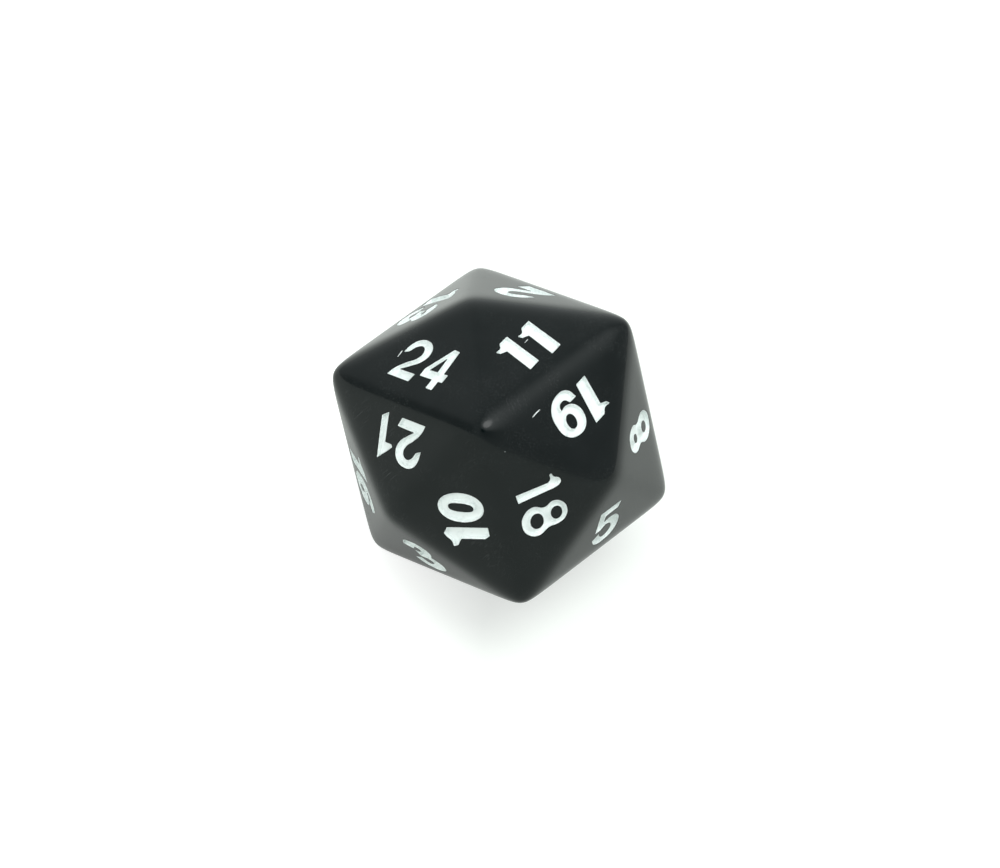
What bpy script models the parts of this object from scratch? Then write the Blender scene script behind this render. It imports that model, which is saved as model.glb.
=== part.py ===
# A 24-sided gaming die: a cube with a low pyramid on each face, rounded all over,
# with a numeral engraved in each of its 24 faces and a fill of white paint in each figure.
# Metres, +Z up. The die rests on the face opposite TOP_NUMBER, centred on the origin.

import math

import bmesh
import bpy
from mathutils import Matrix, Vector

# The blank
FACE_TO_FACE = 0.0200       # between two opposite faces
APEX_RATIO = 1.5            # pyramid apex over the cube's half edge: 1.5 makes all edges equally blunt
EDGE_RADIUS = 0.00195       # rounding of every edge and corner
EDGE_SEGMENTS = 4

# Numbers by pyramid axis, then by the side of the pyramid. The other half follows from OPPOSITE_SUM.
FACE_NUMBERS = {
    "+X": {"+Y": 24, "+Z": 11, "-Y": 2, "-Z": 13},
    "+Y": {"+X": 21, "+Z": 10, "-X": 3, "-Z": 16},
    "+Z": {"+X": 19, "+Y": 18, "-X": 5, "-Y": 8},
}
OPPOSITE_SUM = 25           # two opposite faces add up to this
TOP_NUMBER = 11             # the face that points up
DOTTED_NUMBERS = (6, 9)     # a dot after the figure says which way up it is

# The engraving
ENGRAVE_DEPTH = 0.00045
PAINT_THICKNESS = 0.00028
PAINT_CLEARANCE = 0.00002   # between a paint fill and the walls and floor of its figure
CUTTER_OVERSHOOT = 0.00050  # how far a cutter stands out of its face
OUTLINE_STEPS = 3           # straight pieces in each curved stretch of an outline
WELD_DISTANCE = 0.0000001   # joins the loose caps of a filled outline to its sides

# The numerals: height of a figure, middle of the figures above the cube edge that they stand on,
# how far the outlines are moved out or in, gap between two figures, and shift to the right
PAIR_STYLE = {"height": 0.00320, "middle": 0.00287, "weight": 0.00002, "gap": 0.00030, "shift": 0.0}
SINGLE_STYLE = {"height": 0.00365, "middle": 0.00312, "weight": -0.00004, "gap": 0.00020, "shift": 0.0}
LIGHT_WEIGHT = -0.00003
MEDIUM_WEIGHT = 0.00006
BOLD_WEIGHT = 0.00010
OWN_STYLES = {
    10: {"weight": BOLD_WEIGHT},
    11: {"weight": BOLD_WEIGHT, "height": 0.00288, "gap": 0.00036},
    13: {"weight": BOLD_WEIGHT},
    18: {"weight": LIGHT_WEIGHT, "gap": 0.00065},
    19: {"weight": MEDIUM_WEIGHT, "height": 0.00290, "middle": 0.00280, "gap": 0.00048},
    21: {"shift": -0.00028},
    24: {"weight": LIGHT_WEIGHT, "shift": -0.00008},
}

# The finishes
RESIN_COLOUR = (0.016, 0.019, 0.020, 1.0)
RESIN_ROUGHNESS = 0.22
PAINT_COLOUR = (0.86, 0.91, 0.90, 1.0)
PAINT_ROUGHNESS = 0.55


def oval(centre_x, centre_y, half_width, half_height, lean=0.0):
    """Four smooth points anticlockwise round an oval, whose top leans to the right."""
    return [
        ("smooth", centre_x + half_width, centre_y),
        ("smooth", centre_x + lean, centre_y + half_height),
        ("smooth", centre_x - half_width, centre_y),
        ("smooth", centre_x - lean, centre_y - half_height),
    ]


def drawn_width(figure):
    return max(x for spline in figure for _, x, _ in spline)


def upside_down(figure):
    """The same figure turned half round in its box, which is 1 high."""
    width = drawn_width(figure)
    return [
        [(kind, width - x, 1 - y) for kind, x, y in spline]
        for spline in figure
    ]


# Each figure is a clockwise outline and then its anticlockwise counters, 1 high, from its lower left.
FIGURES = {
    "0": [
        oval(0.37, 0.50, 0.37, 0.51)[::-1],
        oval(0.37, 0.50, 0.15, 0.33, 0.04),
    ],
    "1": [[
        ("corner", 0.20, 0.00), ("corner", 0.21, 0.70), ("corner", 0.02, 0.71), ("corner", 0.00, 0.77),
        ("smooth", 0.15, 0.83), ("corner", 0.24, 0.94), ("corner", 0.43, 1.00), ("corner", 0.45, 0.04),
    ]],
    "2": [[
        ("corner", 0.02, 0.57), ("smooth", 0.08, 0.80), ("smooth", 0.22, 0.96), ("smooth", 0.43, 1.01),
        ("smooth", 0.64, 0.92), ("smooth", 0.72, 0.73), ("smooth", 0.65, 0.52), ("smooth", 0.45, 0.34),
        ("corner", 0.26, 0.21), ("corner", 0.70, 0.22), ("corner", 0.66, 0.00), ("corner", 0.00, 0.00),
        ("smooth", 0.07, 0.17), ("smooth", 0.27, 0.39), ("smooth", 0.46, 0.56), ("smooth", 0.51, 0.72),
        ("smooth", 0.42, 0.83), ("smooth", 0.28, 0.79), ("corner", 0.16, 0.63),
    ]],
    "3": [[
        ("corner", 0.03, 0.79), ("smooth", 0.13, 0.94), ("smooth", 0.34, 1.01), ("smooth", 0.57, 0.93),
        ("smooth", 0.65, 0.75), ("corner", 0.53, 0.54), ("smooth", 0.66, 0.43), ("smooth", 0.70, 0.28),
        ("smooth", 0.60, 0.08), ("smooth", 0.35, -0.01), ("smooth", 0.12, 0.06), ("corner", 0.00, 0.24),
        ("corner", 0.17, 0.31), ("smooth", 0.24, 0.20), ("smooth", 0.35, 0.16), ("smooth", 0.49, 0.30),
        ("smooth", 0.42, 0.41), ("corner", 0.23, 0.44), ("corner", 0.23, 0.61), ("smooth", 0.39, 0.64),
        ("smooth", 0.45, 0.74), ("smooth", 0.34, 0.85), ("corner", 0.19, 0.72),
    ]],
    "4": [
        [
            ("corner", 0.00, 0.21), ("corner", 0.00, 0.40), ("corner", 0.39, 1.03), ("corner", 0.56, 1.02),
            ("corner", 0.57, 0.44), ("corner", 0.69, 0.45), ("corner", 0.67, 0.23), ("corner", 0.56, 0.22),
            ("corner", 0.55, 0.00), ("corner", 0.35, 0.00), ("corner", 0.36, 0.22),
        ],
        [("corner", 0.37, 0.76), ("corner", 0.17, 0.42), ("corner", 0.37, 0.43)],
    ],
    "5": [[
        ("corner", 0.05, 0.43), ("corner", 0.09, 0.99), ("corner", 0.64, 0.98), ("corner", 0.58, 0.82),
        ("corner", 0.25, 0.81), ("corner", 0.23, 0.63), ("smooth", 0.38, 0.67), ("smooth", 0.60, 0.58),
        ("smooth", 0.69, 0.34), ("smooth", 0.59, 0.09), ("smooth", 0.33, -0.01), ("smooth", 0.10, 0.06),
        ("corner", 0.00, 0.24), ("corner", 0.16, 0.33), ("smooth", 0.22, 0.20), ("smooth", 0.33, 0.16),
        ("smooth", 0.49, 0.34), ("smooth", 0.33, 0.51), ("corner", 0.19, 0.43),
    ]],
    "7": [[
        ("corner", 0.02, 0.78), ("corner", 0.04, 1.00), ("corner", 0.66, 1.00), ("corner", 0.66, 0.86),
        ("smooth", 0.46, 0.50), ("corner", 0.35, 0.00), ("corner", 0.11, 0.00), ("smooth", 0.22, 0.42),
        ("corner", 0.42, 0.78),
    ]],
    "8": [
        [
            ("smooth", 0.34, 1.01), ("smooth", 0.56, 0.93), ("smooth", 0.64, 0.76), ("smooth", 0.57, 0.56),
            ("smooth", 0.68, 0.29), ("smooth", 0.58, 0.08), ("smooth", 0.34, -0.01), ("smooth", 0.10, 0.08),
            ("smooth", 0.00, 0.29), ("smooth", 0.11, 0.56), ("smooth", 0.04, 0.76), ("smooth", 0.12, 0.93),
        ],
        oval(0.34, 0.75, 0.14, 0.10, 0.02),
        oval(0.34, 0.29, 0.17, 0.13, 0.02),
    ],
    "9": [
        [
            ("corner", 0.00, 0.23), ("corner", 0.18, 0.27), ("smooth", 0.26, 0.18), ("smooth", 0.36, 0.16),
            ("smooth", 0.46, 0.22), ("corner", 0.49, 0.38), ("smooth", 0.33, 0.32), ("smooth", 0.10, 0.42),
            ("smooth", 0.01, 0.66), ("smooth", 0.11, 0.91), ("smooth", 0.37, 1.01), ("smooth", 0.63, 0.89),
            ("smooth", 0.73, 0.56), ("smooth", 0.64, 0.18), ("smooth", 0.33, -0.01), ("smooth", 0.11, 0.04),
        ],
        oval(0.36, 0.67, 0.12, 0.17),
    ],
}
FIGURES["6"] = upside_down(FIGURES["9"])
FIGURES["."] = [oval(0.09, 0.08, 0.09, 0.09)[::-1]]


def half_edge():
    """Half the edge of the cube inside, from the distance between faces."""
    slope = math.hypot(1.0, APEX_RATIO - 1.0)
    return FACE_TO_FACE / 2 * slope / APEX_RATIO


def clear_scene():
    for obj in list(bpy.data.objects):
        bpy.data.objects.remove(obj, do_unlink=True)


def new_collection(name):
    collection = bpy.data.collections.new(name)
    bpy.context.scene.collection.children.link(collection)
    return collection


def new_material(name, colour, roughness):
    material = bpy.data.materials.new(name)
    material.use_nodes = True
    material.diffuse_color = colour
    shader = material.node_tree.nodes["Principled BSDF"]
    shader.inputs["Base Color"].default_value = colour
    shader.inputs["Roughness"].default_value = roughness
    shader.inputs["Metallic"].default_value = 0.0
    return material


def unit_axis(name):
    """A signed axis such as "-Y" as a vector."""
    axis = Vector((0.0, 0.0, 0.0))
    axis["XYZ".index(name[1])] = 1.0 if name[0] == "+" else -1.0
    return axis


def face_frame(pyramid, side):
    """Where a face's numeral is drawn: x along the cube edge, y up to the apex, z out of the face."""
    half = half_edge()
    foot = (pyramid + side) * half
    apex = pyramid * half * APEX_RATIO
    up = (apex - foot).normalized()
    right = pyramid.cross(side)
    out = right.cross(up)
    axes = Matrix((right, up, out)).transposed().to_4x4()
    return Matrix.Translation(foot) @ axes


def all_faces():
    """Each number with the frame of its face."""
    frames = {}
    for pyramid, sides in FACE_NUMBERS.items():
        for side, number in sides.items():
            frames[number] = face_frame(unit_axis(pyramid), unit_axis(side))
            frames[OPPOSITE_SUM - number] = face_frame(-unit_axis(pyramid), -unit_axis(side))
    return frames


def make_centre(frames, collection):
    """An empty at the die's centre, turned so that the top numeral is level and reads towards +Y."""
    centre = bpy.data.objects.new("die_centre", None)
    centre.rotation_euler = frames[TOP_NUMBER].to_3x3().inverted().to_euler()
    centre.location = (0.0, 0.0, FACE_TO_FACE / 2)
    collection.objects.link(centre)
    return centre


def make_blank(collection, centre, material):
    """The rounded blank: a cube with each face raised to a low pyramid."""
    shape = bmesh.new()
    half = half_edge()
    bmesh.ops.create_cube(shape, size=2 * half)
    bmesh.ops.poke(shape, faces=shape.faces, offset=half * (APEX_RATIO - 1.0))
    mesh = bpy.data.meshes.new("die_body")
    shape.to_mesh(mesh)
    shape.free()
    mesh.shade_smooth()
    mesh.materials.append(material)
    body = bpy.data.objects.new("die_body", mesh)
    body.parent = centre
    collection.objects.link(body)
    rounding = body.modifiers.new("rounded edges", "BEVEL")
    rounding.limit_method = "NONE"
    rounding.offset_type = "OFFSET"
    rounding.width = EDGE_RADIUS * edge_setback()
    rounding.segments = EDGE_SEGMENTS
    rounding.harden_normals = True
    return body


def edge_setback():
    """How far from its edge a rounding of radius 1 begins, by half the turn between two faces."""
    frames = all_faces()
    normals = [frame.col[2].to_3d() for frame in frames.values()]
    turn = min(normals[0].angle(other) for other in normals[1:])
    return math.tan(turn / 2)


def style_of(number):
    style = dict(SINGLE_STYLE if number < 10 else PAIR_STYLE)
    style.update(OWN_STYLES.get(number, {}))
    return style


def figures_of(number):
    """The figures of a number, each with the name of its own part."""
    if number >= 10:
        tens, units = str(number)
        return [(tens, f"numeral_{number}_tens"), (units, f"numeral_{number}_units")]
    figures = [(str(number), f"numeral_{number}")]
    if number in DOTTED_NUMBERS:
        figures.append((".", f"numeral_{number}_dot"))
    return figures


def figure_lefts(figures, style):
    """The distance of each figure's left side from the middle of its face."""
    widths = [drawn_width(FIGURES[figure]) * style["height"] for figure, _ in figures]
    step = style["gap"] + 2 * style["weight"]
    total = sum(widths) + step * (len(widths) - 1)
    first = style["shift"] - total / 2
    return [first + sum(widths[:count]) + step * count for count in range(len(widths))]


def outline_curve(name, figure, height, grow, thickness):
    """A figure as a filled 2D curve, its outline moved out by grow."""
    curve = bpy.data.curves.new(name, "CURVE")
    curve.dimensions = "2D"
    curve.fill_mode = "BOTH"
    curve.resolution_u = OUTLINE_STEPS
    curve.extrude = thickness / 2
    curve.offset = grow
    for points in FIGURES[figure]:
        spline = curve.splines.new("BEZIER")
        spline.bezier_points.add(len(points) - 1)
        for bezier, (kind, x, y) in zip(spline.bezier_points, points):
            bezier.co = (x * height, y * height, 0.0)
            handle = "AUTO" if kind == "smooth" else "VECTOR"
            bezier.handle_left_type = handle
            bezier.handle_right_type = handle
        spline.use_cyclic_u = True
    return curve


def figure_solid(name, figure, height, grow, depths, place, collection, centre):
    """A figure as a closed solid between two depths of its face."""
    low, high = depths
    curve = outline_curve(name, figure, height, grow, high - low)
    drawn = bpy.data.objects.new(name + "_outline", curve)
    drawn.matrix_world = place @ Matrix.Translation((0.0, 0.0, (low + high) / 2))
    bpy.context.scene.collection.objects.link(drawn)
    graph = bpy.context.evaluated_depsgraph_get()
    mesh = bpy.data.meshes.new_from_object(drawn.evaluated_get(graph))
    weld(mesh)
    solid = bpy.data.objects.new(name, mesh)
    solid.parent = centre
    solid.matrix_local = drawn.matrix_world
    collection.objects.link(solid)
    bpy.data.objects.remove(drawn, do_unlink=True)
    bpy.data.curves.remove(curve)
    return solid


def weld(mesh):
    """Joins the caps of a converted curve to its sides."""
    shape = bmesh.new()
    shape.from_mesh(mesh)
    bmesh.ops.remove_doubles(shape, verts=shape.verts, dist=WELD_DISTANCE)
    shape.to_mesh(mesh)
    shape.free()


def make_numeral(number, frame, die, cutters, centre, paint):
    """The cutters and the paint fills of one face."""
    style = style_of(number)
    height, weight = style["height"], style["weight"]
    figures = figures_of(number)
    floor = -ENGRAVE_DEPTH
    bottom = floor + PAINT_CLEARANCE
    for (figure, name), left in zip(figures, figure_lefts(figures, style)):
        place = frame @ Matrix.Translation((left, style["middle"] - height / 2, 0.0))
        depths = (floor, CUTTER_OVERSHOOT)
        cutter = figure_solid(name + "_cutter", figure, height, weight, depths, place, cutters, centre)
        cutter.hide_render = True
        cutter.display_type = "WIRE"
        depths = (bottom, bottom + PAINT_THICKNESS)
        fill = figure_solid(name, figure, height, weight - PAINT_CLEARANCE, depths, place, die, centre)
        fill.data.materials.clear()
        fill.data.materials.append(paint)


def engrave(body, cutters):
    engraving = body.modifiers.new("engraved numerals", "BOOLEAN")
    engraving.operation = "DIFFERENCE"
    engraving.solver = "EXACT"
    engraving.operand_type = "COLLECTION"
    engraving.collection = cutters


def main():
    clear_scene()
    die = new_collection("polyhedral_die")
    cutters = new_collection("cutters")
    resin = new_material("black_resin", RESIN_COLOUR, RESIN_ROUGHNESS)
    paint = new_material("white_paint", PAINT_COLOUR, PAINT_ROUGHNESS)
    frames = all_faces()
    centre = make_centre(frames, die)
    body = make_blank(die, centre, resin)
    for number, frame in sorted(frames.items()):
        make_numeral(number, frame, die, cutters, centre, paint)
    engrave(body, cutters)


main()
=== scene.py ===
import bpy
import numpy as np
from mathutils import Matrix, Vector
from mathutils.geometry import delaunay_2d_cdt


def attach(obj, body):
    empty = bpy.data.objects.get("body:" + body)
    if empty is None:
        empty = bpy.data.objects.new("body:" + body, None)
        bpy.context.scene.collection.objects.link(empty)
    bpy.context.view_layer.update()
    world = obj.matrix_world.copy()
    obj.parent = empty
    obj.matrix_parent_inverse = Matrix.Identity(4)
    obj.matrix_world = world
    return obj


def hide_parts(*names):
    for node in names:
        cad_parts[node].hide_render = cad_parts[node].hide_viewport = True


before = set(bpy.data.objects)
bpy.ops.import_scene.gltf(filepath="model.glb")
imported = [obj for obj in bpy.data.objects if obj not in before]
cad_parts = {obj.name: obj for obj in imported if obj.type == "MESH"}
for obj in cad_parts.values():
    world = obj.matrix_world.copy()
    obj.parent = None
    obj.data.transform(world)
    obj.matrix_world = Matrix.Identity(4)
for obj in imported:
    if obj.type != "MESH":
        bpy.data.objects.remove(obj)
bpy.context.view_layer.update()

mm = 0.001


blankShape = {
    "faceToFace": 20.0 * mm,
    "apexRatio": 1.5,             # pyramid apex over the cube's half edge
    "softness": 0.25 * mm,        # of the edges and corners, which are tumbled round
    "newtonSteps": 6,
    "border": 0.60 * mm,          # width of the strip along a face's edges that is meshed as a grid
    "borderRows": 9,
    "borderCrowding": 1.3,        # power that draws the rows towards the edge
    "borderColumns": 28,
    "groundSpacing": 0.30 * mm,   # between the points on the rest of a face
    "groundRoom": 0.4,            # least distance of those points from an outline, in spacings
}

# Numbers by pyramid axis, then by the side of the pyramid. The other half follows from oppositeSum.
faceNumbers = {
    "+X": {"+Y": 24, "+Z": 11, "-Y": 2, "-Z": 13},
    "+Y": {"+X": 21, "+Z": 10, "-X": 3, "-Z": 16},
    "+Z": {"+X": 19, "+Y": 18, "-X": 5, "-Y": 8},
}
oppositeSum = 25
topNumber = 11


# Each vector over its length
def unit(vectors):
    return vectors / np.linalg.norm(vectors, axis=-1, keepdims=True)


# The direction that "+X" or "-Z" stands for
def signedAxis(name):
    axis = np.zeros(3)
    axis["XYZ".index(name[1])] = 1.0 if name[0] == "+" else -1.0
    return axis


# Half the cube's edge: a face's distance from the centre is halfEdge * ratio / hypot(1, ratio - 1)
def halfEdge():
    ratio = blankShape["apexRatio"]
    return blankShape["faceToFace"] / 2 * np.hypot(1.0, ratio - 1.0) / ratio


# A face's place, as foot + x * right + y * up + z * out, where the foot is the middle of the cube edge
def faceFrame(pyramid, side):
    half = halfEdge()
    foot = (pyramid + side) * half
    up = unit(pyramid * half * blankShape["apexRatio"] - foot)
    right = np.cross(pyramid, side)
    return {"foot": foot, "axes": np.array([right, up, np.cross(right, up)])}


# All 24 faces, turned together so that the top number is level and stands on the floor's origin
def dieFaces():
    faces = {}
    for pyramid, sides in faceNumbers.items():
        for side, number in sides.items():
            faces[number] = faceFrame(signedAxis(pyramid), signedAxis(side))
            faces[oppositeSum - number] = faceFrame(-signedAxis(pyramid), -signedAxis(side))
    turn = faces[topNumber]["axes"].copy()
    centre = np.array([0.0, 0.0, blankShape["faceToFace"] / 2])
    for face in faces.values():
        face["foot"] = turn @ face["foot"] + centre
        face["axes"] = face["axes"] @ turn.T
    return faces


faces = dieFaces()
faceNormals = np.array([face["axes"][2] for face in faces.values()])


# The tumbled surface is where the sum over all faces of exp(height over the face / softness) is 1. A point
# of the sharp die comes down to it along its line to the centre, by Newton's method on softness * log(sum).
# Its normal is the mean of the faces' by their terms in the sum. edge is 0 on a face and 1 on an edge.
def tumbled(points):
    reach, softness = blankShape["faceToFace"] / 2, blankShape["softness"]
    centre = np.array([0.0, 0.0, reach])
    ray = points - centre
    slope = ray @ faceNormals.T
    share = np.ones(ray.shape[:-1])
    for step in range(blankShape["newtonSteps"]):
        weight = np.exp((share[..., None] * slope - reach) / softness)
        total = weight.sum(axis=-1)
        share = share - softness * np.log(total) * total / np.sum(weight * slope, axis=-1)
    weight = weight / total[..., None]
    edge = np.clip(2 * (1 - weight.max(axis=-1)), 0, 1)
    return centre + share[..., None] * ray, unit(weight @ faceNormals), edge


# Four smooth knots round a middle, anticlockwise, the upper and lower ones pushed apart by the lean
def oval(x, y, halfWidth, halfHeight, lean=0.0):
    right, left = (x + halfWidth, y, 1), (x - halfWidth, y, 1)
    return [right, (x + lean, y + halfHeight, 1), left, (x - lean, y - halfHeight, 1)]


# Figures one unit high, from the lower left: x, y, and 1 for a smooth knot or 0 for a corner. Outlines run
# clockwise and their counters the other way, so the recess is always on the right.
figureOutlines = {
    "0": [oval(0.37, 0.50, 0.37, 0.51)[::-1], oval(0.37, 0.50, 0.15, 0.33, 0.04)],
    "1": [[
        (0.20, 0.00, 0), (0.21, 0.70, 0), (0.02, 0.71, 0), (0.00, 0.77, 0), (0.15, 0.83, 1),
        (0.24, 0.94, 0), (0.43, 1.00, 0), (0.45, 0.04, 0),
    ]],
    "2": [[
        (0.02, 0.57, 0), (0.08, 0.80, 1), (0.22, 0.96, 1), (0.43, 1.01, 1), (0.64, 0.92, 1),
        (0.72, 0.73, 1), (0.65, 0.52, 1), (0.45, 0.34, 1), (0.26, 0.21, 0), (0.70, 0.22, 0),
        (0.66, 0.00, 0), (0.00, 0.00, 0), (0.07, 0.17, 1), (0.27, 0.39, 1), (0.46, 0.56, 1),
        (0.51, 0.72, 1), (0.42, 0.83, 1), (0.28, 0.79, 1), (0.16, 0.63, 0),
    ]],
    "3": [[
        (0.03, 0.79, 0), (0.13, 0.94, 1), (0.34, 1.01, 1), (0.57, 0.93, 1), (0.65, 0.75, 1),
        (0.53, 0.54, 0), (0.66, 0.43, 1), (0.70, 0.28, 1), (0.60, 0.08, 1), (0.35, -0.01, 1),
        (0.12, 0.06, 1), (0.00, 0.24, 0), (0.17, 0.31, 0), (0.24, 0.20, 1), (0.35, 0.16, 1),
        (0.49, 0.30, 1), (0.42, 0.41, 1), (0.23, 0.44, 0), (0.23, 0.61, 0), (0.39, 0.64, 1),
        (0.45, 0.74, 1), (0.34, 0.85, 1), (0.19, 0.72, 0),
    ]],
    "4": [
        [
            (0.00, 0.21, 0), (0.00, 0.40, 0), (0.39, 1.03, 0), (0.56, 1.02, 0), (0.57, 0.44, 0),
            (0.69, 0.45, 0), (0.67, 0.23, 0), (0.56, 0.22, 0), (0.55, 0.00, 0), (0.35, 0.00, 0),
            (0.36, 0.22, 0),
        ],
        [(0.37, 0.76, 0), (0.17, 0.42, 0), (0.37, 0.43, 0)],
    ],
    "5": [[
        (0.05, 0.43, 0), (0.09, 0.99, 0), (0.64, 0.98, 0), (0.58, 0.82, 0), (0.25, 0.81, 0),
        (0.23, 0.63, 0), (0.38, 0.67, 1), (0.60, 0.58, 1), (0.69, 0.34, 1), (0.59, 0.09, 1),
        (0.33, -0.01, 1), (0.10, 0.06, 1), (0.00, 0.24, 0), (0.16, 0.33, 0), (0.22, 0.20, 1),
        (0.33, 0.16, 1), (0.49, 0.34, 1), (0.33, 0.51, 1), (0.19, 0.43, 0),
    ]],
    "7": [[
        (0.02, 0.78, 0), (0.04, 1.00, 0), (0.66, 1.00, 0), (0.66, 0.86, 0), (0.46, 0.50, 1),
        (0.35, 0.00, 0), (0.11, 0.00, 0), (0.22, 0.42, 1), (0.42, 0.78, 0),
    ]],
    "8": [
        [
            (0.34, 1.01, 1), (0.56, 0.93, 1), (0.64, 0.76, 1), (0.57, 0.56, 1), (0.68, 0.29, 1),
            (0.58, 0.08, 1), (0.34, -0.01, 1), (0.10, 0.08, 1), (0.00, 0.29, 1), (0.11, 0.56, 1),
            (0.04, 0.76, 1), (0.12, 0.93, 1),
        ],
        oval(0.34, 0.75, 0.14, 0.10, 0.02),
        oval(0.34, 0.29, 0.17, 0.13, 0.02),
    ],
    "9": [
        [
            (0.00, 0.23, 0), (0.18, 0.27, 0), (0.26, 0.18, 1), (0.36, 0.16, 1), (0.46, 0.22, 1),
            (0.49, 0.38, 0), (0.33, 0.32, 1), (0.10, 0.42, 1), (0.01, 0.66, 1), (0.11, 0.91, 1),
            (0.37, 1.01, 1), (0.63, 0.89, 1), (0.73, 0.56, 1), (0.64, 0.18, 1), (0.33, -0.01, 1),
            (0.11, 0.04, 1),
        ],
        oval(0.36, 0.67, 0.12, 0.17),
    ],
    ".": [oval(0.09, 0.08, 0.09, 0.09)[::-1]],
}

# A 6 is a 9 turned upside down, so x counts back from the 9's width
figureOutlines["6"] = [[(0.73 - x, 1 - y, smooth) for x, y, smooth in loop] for loop in figureOutlines["9"]]

# The figures were cut by hand, so some numbers have a drawing of their own
ownOutlines = {
    (10, "1"): [[
        (0.27, 0.00, 0), (0.20, 0.10, 0), (0.20, 0.68, 0), (0.13, 0.73, 1), (0.02, 0.79, 0),
        (0.00, 0.86, 0), (0.12, 0.88, 1), (0.24, 0.98, 0), (0.31, 1.02, 0), (0.45, 0.93, 0),
        (0.45, 0.00, 0),
    ]],
    (11, "1"): [[
        (0.22, 0.00, 0), (0.22, 0.75, 0), (0.03, 0.80, 0), (0.00, 0.85, 0), (0.14, 0.87, 1),
        (0.24, 0.98, 0), (0.51, 1.02, 0), (0.53, 0.05, 0),
    ]],
    (18, "1"): [[
        (0.24, 0.00, 0), (0.20, 0.74, 0), (0.14, 0.80, 1), (0.02, 0.80, 0), (0.00, 0.86, 0),
        (0.10, 0.90, 1), (0.16, 1.00, 1), (0.26, 1.03, 1), (0.34, 0.97, 1), (0.38, 0.84, 0),
        (0.46, 0.02, 0),
    ]],
    (18, "8"): [
        [
            (0.30, 1.03, 1), (0.52, 0.95, 1), (0.61, 0.76, 1), (0.62, 0.57, 1), (0.74, 0.30, 1),
            (0.64, 0.08, 1), (0.39, -0.01, 1), (0.13, 0.08, 1), (0.01, 0.30, 1), (0.10, 0.55, 1),
            (0.02, 0.77, 1), (0.10, 0.94, 1),
        ],
        oval(0.33, 0.78, 0.15, 0.12, -0.03),
        oval(0.38, 0.33, 0.18, 0.14, -0.03),
    ],
    (19, "1"): [[
        (0.22, 0.00, 0), (0.22, 0.75, 0), (0.04, 0.79, 0), (0.00, 0.84, 0), (0.15, 0.86, 1),
        (0.26, 0.98, 0), (0.55, 1.03, 0), (0.52, 0.05, 0),
    ]],
    (19, "9"): [
        [
            (0.00, 0.24, 0), (0.20, 0.27, 0), (0.28, 0.17, 1), (0.40, 0.15, 1), (0.52, 0.22, 1),
            (0.54, 0.37, 0), (0.36, 0.31, 1), (0.12, 0.41, 1), (0.03, 0.67, 1), (0.13, 0.92, 1),
            (0.42, 1.02, 1), (0.72, 0.89, 1), (0.83, 0.56, 1), (0.74, 0.18, 1), (0.38, -0.02, 1),
            (0.11, 0.04, 1),
        ],
        oval(0.42, 0.67, 0.155, 0.20),
    ],
    (21, "1"): [[
        (0.23, -0.01, 0), (0.23, 0.64, 0), (0.03, 0.64, 0), (0.00, 0.69, 0), (0.18, 0.84, 1),
        (0.41, 1.01, 0), (0.42, 0.10, 0),
    ]],
    (21, "2"): [[
        (0.02, 0.57, 0), (0.08, 0.80, 1), (0.22, 0.96, 1), (0.45, 1.01, 1), (0.68, 0.92, 1),
        (0.77, 0.73, 1), (0.69, 0.52, 1), (0.47, 0.34, 1), (0.27, 0.21, 0), (0.68, 0.20, 0),
        (0.80, 0.19, 0), (0.70, 0.00, 0), (-0.01, 0.00, 0), (0.07, 0.17, 1), (0.28, 0.39, 1),
        (0.48, 0.56, 1), (0.54, 0.72, 1), (0.44, 0.83, 1), (0.28, 0.79, 1), (0.16, 0.63, 0),
    ]],
}

pairStyle = {
    "height": 3.20 * mm,
    "middle": 2.87 * mm,     # of the figures, above the cube edge
    "weight": 0.02 * mm,     # how far an outline is moved out
    "gap": 0.30 * mm,        # between two figures
    "shift": 0.0,            # to the right
    "lean": 0.0,             # to the right, as a share of the height
    "stretch": 1.0,          # in width
}
singleStyle = {**pairStyle, "height": 3.65 * mm, "middle": 3.12 * mm, "gap": 0.20 * mm}

# What single numbers have of their own
ownStyles = {
    2: {"weight": 0.09 * mm},
    3: {"weight": 0.11 * mm},
    5: {"weight": 0.02 * mm, "shift": 0.18 * mm},
    8: {"weight": 0.09 * mm, "height": 3.85 * mm, "middle": 2.88 * mm, "lean": 0.13, "stretch": 0.80},
    10: {
        "weight": 0.10 * mm, "height": 3.00 * mm, "middle": 2.75 * mm, "gap": 0.42 * mm,
        "shift": -0.03 * mm,
    },
    11: {"weight": 0.08 * mm, "height": 2.74 * mm, "middle": 2.77 * mm, "gap": 0.52 * mm, "lean": -0.05},
    13: {"weight": 0.14 * mm, "shift": -0.32 * mm, "gap": 0.38 * mm},
    16: {"weight": 0.12 * mm},
    18: {"weight": -0.02 * mm, "gap": 0.62 * mm},
    19: {
        "weight": 0.05 * mm, "height": 2.90 * mm, "middle": 2.82 * mm, "gap": 0.38 * mm,
        "shift": -0.16 * mm,
    },
    21: {"shift": -0.38 * mm, "gap": 0.26 * mm, "stretch": 0.96},
    24: {"weight": -0.03 * mm, "shift": 0.03 * mm, "gap": 0.36 * mm, "lean": 0.09},
}
dottedNumbers = (6, 9)

outlineDetail = {
    "knotSteps": 16,                # points between two knots, before they are spread evenly
    "handle": 1 / 2.5614,           # length of a smooth knot's handles, in ways to its neighbours
    "spacing": 0.055 * mm,          # along an outline
    "fewestPoints": 24,             # on the smallest loop
    "cornerSoftness": 0.030 * mm,   # how far a corner is rounded off
    "sharpestTurn": -0.6,           # cosine past which a mitre grows no longer
    "foldShare": 0.97,              # points nearer to the old loop than this, in moves, are in a fold
}


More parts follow.
